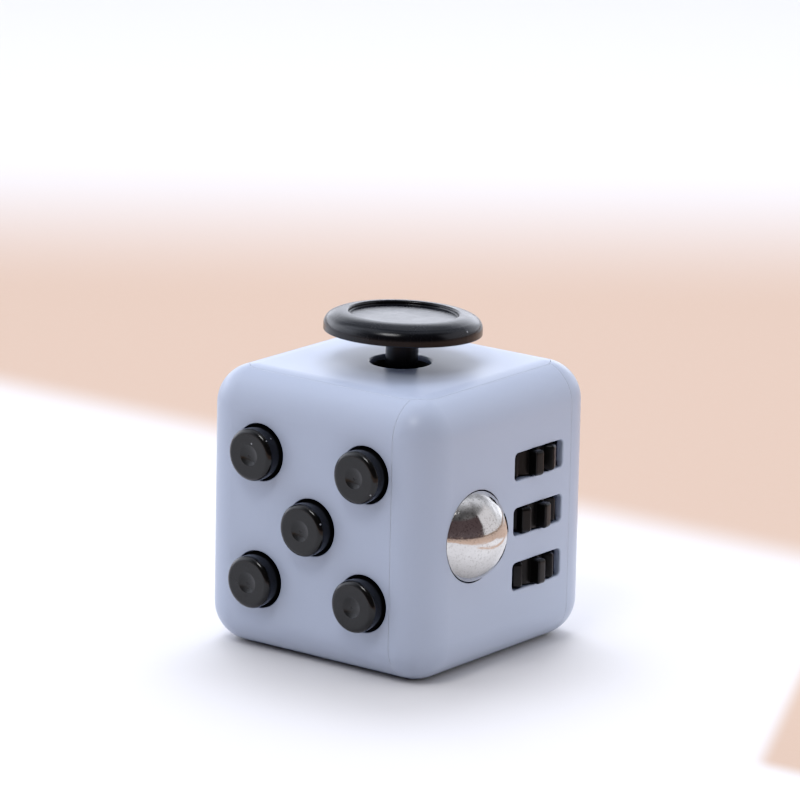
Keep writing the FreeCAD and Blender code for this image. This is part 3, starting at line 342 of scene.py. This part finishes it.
def ball_coil():
    """The spring behind the ball as one wound wire."""
    low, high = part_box("ball_spring")
    middle = (low + high) / 2
    length = high.x - low.x
    sides = WIRE_SIDES
    onward = Vector((1, 0, 0))
    points, faces = [], []
    for step in range(COIL_STEPS + 1):
        share = step / COIL_STEPS
        angle = 2 * math.pi * COIL_TURNS * share
        out = Vector((0, math.cos(angle), math.sin(angle)))
        along = low.x + WIRE_RADIUS + (length - 2 * WIRE_RADIUS) * share
        centre = Vector((along, middle.y, middle.z)) + COIL_RADIUS * out
        for side in range(sides):
            around = 2 * math.pi * side / sides
            points.append(centre + WIRE_RADIUS * (math.cos(around) * out + math.sin(around) * onward))
    for step in range(COIL_STEPS):
        for side in range(sides):
            a, b = step * sides + side, step * sides + (side + 1) % sides
            faces.append((a, b, b + sides, a + sides))
    faces.append(tuple(range(sides)))
    faces.append(tuple(COIL_STEPS * sides + side for side in reversed(range(sides))))
    mesh = bpy.data.meshes.new("ball_coil")
    mesh.from_pydata(points, [], faces)
    mesh.shade_smooth()
    made = soft_piece("ball_coil", "ball_spring", "spring_steel", mesh)
    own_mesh(made)


def cut_mesh(source, front, keep_front, centre=None):
    """A copy of a mesh on one side of the plane y = front, near centre if one is given. The cut stays open."""
    mesh = source.data.copy()
    work = bmesh.new()
    work.from_mesh(mesh)
    bmesh.ops.remove_doubles(work, verts=work.verts, dist=WELD)
    bmesh.ops.bisect_plane(work, geom=work.verts[:] + work.edges[:] + work.faces[:], dist=WELD / 10,
                           plane_co=(0, front, 0), plane_no=(0, 1, 0),
                           clear_outer=keep_front, clear_inner=not keep_front)
    if centre is not None:
        far = [v for v in work.verts if math.hypot(v.co.x - centre.x, v.co.z - centre.z) > DOME_REACH]
        bmesh.ops.delete(work, geom=far, context="VERTS")
    work.to_mesh(mesh)
    work.free()
    return mesh


def dome_pad():
    """The rubber sheet behind the buttons, and five domes, each a piece of its own."""
    source = nodes["click_dome_pad"]
    low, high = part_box("click_dome_pad")
    front = high.y - PAD_SHEET
    soft_piece("dome_sheet", "click_dome_pad", "silicone", cut_mesh(source, front, False))
    for place in ("centre", "upper_left", "lower_left", "upper_right", "lower_right"):
        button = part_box("click_button_" + place)
        centre = (button[0] + button[1]) / 2
        mesh = cut_mesh(source, front, True, centre)
        dome = soft_piece("dome_" + place, "click_dome_pad", "silicone", mesh)
        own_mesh(dome)


def centring_pad():
    """Soft pad below the stick, coned so that the stick's foot can lean over it."""
    low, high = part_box("joystick_centring_pad")
    middle = (low + high) / 2
    radius = (high.x - low.x) / 2
    crown = high.z - CONE_CLEARANCE
    shoulder = crown - CONE_SLOPE * radius
    rings = [  # radius and height, from the tip's rounding to the foot
        (0.3 * radius, crown - 0.1 * radius),
        (0.96 * radius, shoulder),
        (radius, shoulder - 0.1 * MM),
        (radius, low.z),
    ]
    sides = CONE_SIDES
    points = [(middle.x, middle.y, crown)]
    for ring, height in rings:
        for side in range(sides):
            turn = 2 * math.pi * side / sides
            points.append((middle.x + ring * math.cos(turn), middle.y + ring * math.sin(turn), height))
    faces = [(0, 1 + side, 1 + (side + 1) % sides) for side in range(sides)]
    for ring in range(len(rings) - 1):
        for side in range(sides):
            a, b = 1 + ring * sides + side, 1 + ring * sides + (side + 1) % sides
            faces.append((a, a + sides, b + sides, b))
    faces.append(tuple(len(points) - 1 - side for side in range(sides)))
    mesh = bpy.data.meshes.new("centring_pad")
    mesh.from_pydata(points, [], faces)
    mesh.shade_smooth()
    mesh.set_sharp_from_angle(angle=math.radians(35))
    soft_piece("centring_pad", "joystick_centring_pad", "silicone", mesh)


ball_coil()
dome_pad()
centring_pad()


# ---------------------------------------------------------------- floor and world
AZIMUTH = math.radians(37.03)  # camera's turn from -Y towards +X
SIDEWAYS = (math.cos(AZIMUTH), math.sin(AZIMUTH))  # to the right in the picture
ONWARD = (-math.sin(AZIMUTH), math.cos(AZIMUTH))  # away from the camera
FLOOR_REACH = 3.0
FLOOR_WHITE = (0.715, 0.7, 0.7)
FLOOR_WARM = (0.55, 0.395, 0.3)
FLOOR_FIBRE = (0.7, 0.7, 0.7)
ROOM_DIM = (0.4, 0.395, 0.41)
ROOM_BRIGHT = (1.6, 1.66, 1.84)
BRIGHT_WAY = Vector((-0.85, 0.35, 0.4)).normalized()
NEAR_WAY = (0.6, -0.8, 0.0)  # towards the camera
NEAR_DIMMING = 0.6
WINDOW = (0.86, 0.85, 0.9)
HORIZON = (0.42, 0.31, 0.24)
DARK_CORNER = (0.11, 0.085, 0.09)
CORNER_STRENGTH = 0.93


def floor():
    """A wide pale floor: white round the object, warm beyond straight edges, white again far behind.
    The edges of its zones are in metres from the middle of the cube."""
    mesh = bpy.data.meshes.new("floor")
    corners = [(x * FLOOR_REACH, y * FLOOR_REACH, 0) for x, y in ((-1, -1), (1, -1), (1, 1), (-1, 1))]
    mesh.from_pydata(corners, [], [(0, 1, 2, 3)])
    made = bpy.data.objects.new("floor", mesh)
    bpy.context.scene.collection.objects.link(made)
    paint, t, shader = material("floor_pale")
    place = t.place()
    beyond, along = t.add("SeparateXYZ", Vector=place).outputs[:2]
    mirrored = t.add("LightPath").outputs["Is Glossy Ray"]
    aside = t.add("VectorMath", {"operation": "DOT_PRODUCT"}, _0=place, _1=(0.9, 0.436, 0)).outputs["Value"]
    away = t.add("VectorMath", {"operation": "DOT_PRODUCT"}, _0=place, _1=(*ONWARD, 0)).outputs["Value"]
    strip = t.maths("MULTIPLY", t.ramp(aside, 0.047, 0.05), t.ramp(along, -0.015, -0.01))
    strip = t.maths("MULTIPLY", strip, t.ramp(aside, 0.054, 0.06, 1.0, 0.0))
    warm = t.maths("MAXIMUM", t.ramp(along, 0.052, 0.068), strip)
    warm = t.maths("MAXIMUM", warm, t.ramp(away, -0.125, -0.14))
    warm = t.maths("MULTIPLY", warm, t.ramp(away, 0.17, 0.29, 1.0, 0.0))
    warm = t.maths("MAXIMUM", warm, t.maths("MULTIPLY", t.ramp(beyond, 0.078, 0.095), mirrored))
    tint = t.blend(warm, FLOOR_WHITE, FLOOR_WARM)
    fibre = t.noise(900.0, 3.0)
    tint = t.blend(t.maths("MULTIPLY", fibre, 0.04), tint, FLOOR_FIBRE)
    finish(t, shader, Base_Color=tint, Roughness=0.7, Specular_IOR_Level=0.2,
           Normal=t.bumped(fibre, 0.01 * MM, 0.4))
    mesh.materials.append(paint)


def world():
    """Soft room light, brighter behind and to the left. Mirrored, it also has soft patches, a window,
    a dark corner and a dimmer part near the camera. Compass angles are in radians from +X towards +Y."""
    made = bpy.data.worlds.new("studio")
    bpy.context.scene.world = made
    t = Tree(made)
    sky = t.nodes["Background"]
    direction = t.add("TexCoord").outputs["Generated"]
    east, north, height = t.add("SeparateXYZ", Vector=direction).outputs
    compass = t.maths("ARCTAN2", north, east)
    mirrored = t.add("LightPath").outputs["Is Glossy Ray"]
    toward = t.add("VectorMath", {"operation": "DOT_PRODUCT"}, _0=direction, _1=tuple(BRIGHT_WAY))
    colour = t.blend(t.ramp(toward.outputs["Value"], -0.3, 0.8), ROOM_DIM, ROOM_BRIGHT)

    patches = t.ramp(t.noise(2.6, 2.0, 0.5, direction), 0.35, 0.65, 0.75, 1.25)
    behind = t.ramp(height, 0.28, 0.6, 1.3, 0.35)
    beside = t.ramp(height, 0.3, 0.85, 1.1, 0.75)
    turned = t.ramp(compass, 1.1, 1.4)
    falloff = t.maths("ADD", t.maths("MULTIPLY", turned, t.maths("SUBTRACT", behind, beside)), beside)
    patches = t.maths("MULTIPLY", patches, falloff)
    near = t.add("VectorMath", {"operation": "DOT_PRODUCT"}, _0=direction, _1=NEAR_WAY)
    near = t.maths("MULTIPLY", t.ramp(near.outputs["Value"], -0.1, 0.5), t.ramp(height, 0.1, 0.3))
    dimming = t.maths("SUBTRACT", 1.0, t.maths("MULTIPLY", near, NEAR_DIMMING))
    patches = t.maths("MULTIPLY", patches, dimming)
    shade = t.maths("ADD", t.maths("MULTIPLY", t.maths("SUBTRACT", patches, 1.0), mirrored), 1.0)
    colour = t.add("VectorMath", {"operation": "SCALE"}, _0=colour, Scale=shade).outputs[0]

    window = t.maths("MULTIPLY", t.ramp(compass, 0.16, 0.26), t.ramp(compass, 0.95, 1.15, 1.0, 0.0))
    window = t.maths("MULTIPLY", window, t.ramp(height, 0.6, 0.75, 1.0, 0.0))
    colour = t.blend(t.maths("MULTIPLY", window, mirrored), colour, WINDOW)
    horizon = t.maths("MULTIPLY", t.ramp(height, 0.02, 0.06, 1.0, 0.0), t.ramp(compass, -1.5, -1.2))
    colour = t.blend(horizon, colour, HORIZON)
    corner = t.maths("MULTIPLY", t.ramp(compass, -1.75, -1.65), t.ramp(compass, 0.14, 0.24, 1.0, 0.0))
    corner = t.maths("MULTIPLY", corner, t.ramp(height, 0.62, 0.7, 1.0, 0.0))
    corner = t.maths("MULTIPLY", corner, t.maths("MULTIPLY", mirrored, CORNER_STRENGTH))
    t.put(sky, "_0", t.blend(corner, colour, DARK_CORNER))
    t.put(sky, "_1", 1.0)


# ---------------------------------------------------------------- lights and camera
CENTRE = Vector((0, 0, MID))
NEUTRAL = (1.0, 1.0, 1.0)
LIGHTS = {  # place, aim, size, watts, tint, spread
    "ceiling_box": ((-0.15, 0.2, 0.52), CENTRE, (0.28, 0.24), 1.15, (0.94, 0.99, 1.1), math.pi),
    "front_box": ((0.06, -0.31, 0.46), CENTRE, (0.16, 0.15), 0.62, NEUTRAL, math.pi),
    "side_fill": ((0.5, 0.12, 0.3), CENTRE, (0.3, 0.3), 0.16, (0.98, 1.0, 1.08), math.pi),
    "floor_bounce": ((0.085, 0.05, 0.014), (0.0165, 0.01, 0.011), (0.06, 0.02), 0.005, NEUTRAL,
                     math.radians(80)),
}
MIRRORED_LIGHT = "front_box"  # the others don't show in reflections
ELEVATION = math.radians(14.31)
ROLL = math.radians(1.18)
CAMERA_DISTANCE = 653.6 * MM
SENSOR_WIDTH = 36.0  # mm
FOCAL_LENGTH = 250.74  # mm
AIM_HEIGHT = 16.5 * MM
AIM_SHIFT = (0.033 * MM, 11.827 * MM)  # to the right and up in the picture
TOE = ((0.015, 0.006), (0.045, 0.033), (0.12, 0.118), (0.4, 0.4))  # tone in, tone shown


def softbox(name, place, aim, size, power, tint, spread):
    lamp = bpy.data.lights.new(name, "AREA")
    lamp.shape = "RECTANGLE"
    lamp.size, lamp.size_y = size
    lamp.energy = power
    lamp.color = tint
    lamp.spread = spread
    made = bpy.data.objects.new(name, lamp)
    made.location = place
    made.rotation_euler = (Vector(aim) - Vector(place)).to_track_quat("-Z", "Y").to_euler()
    made.visible_glossy = name == MIRRORED_LIGHT
    bpy.context.scene.collection.objects.link(made)


def camera():
    """Seen from the front right and a little above, through a long lens."""
    level_back = Vector((*ONWARD, 0)) * -math.cos(ELEVATION)
    back = level_back + Vector((0, 0, math.sin(ELEVATION)))
    right = Vector((*SIDEWAYS, 0))
    up = back.cross(right)
    target = Vector((0, 0, AIM_HEIGHT)) + AIM_SHIFT[0] * right + AIM_SHIFT[1] * up
    level_right = math.cos(ROLL) * right + math.sin(ROLL) * up
    level_up = math.cos(ROLL) * up - math.sin(ROLL) * right
    lens = bpy.data.cameras.new("camera")
    lens.sensor_width = SENSOR_WIDTH
    lens.lens = FOCAL_LENGTH
    lens.clip_start = 0.01
    made = bpy.data.objects.new("camera", lens)
    axes = Matrix((level_right, level_up, back)).transposed().to_4x4()
    made.matrix_world = Matrix.Translation(target + CAMERA_DISTANCE * back) @ axes
    bpy.context.scene.collection.objects.link(made)
    bpy.context.scene.camera = made


def deep_blacks(settings):
    """A gentle toe: the darkest tones go a little darker, the rest stay as they are."""
    settings.use_curve_mapping = True
    curve = settings.curve_mapping.curves[3]
    for tone, shown in TOE:
        curve.points.new(tone, shown)
    settings.curve_mapping.update()


floor()
world()
for name, settings in LIGHTS.items():
    softbox(name, *settings)
camera()
scene = bpy.context.scene
scene.view_settings.view_transform = "Standard"
scene.cycles.use_denoising = True
deep_blacks(scene.view_settings)
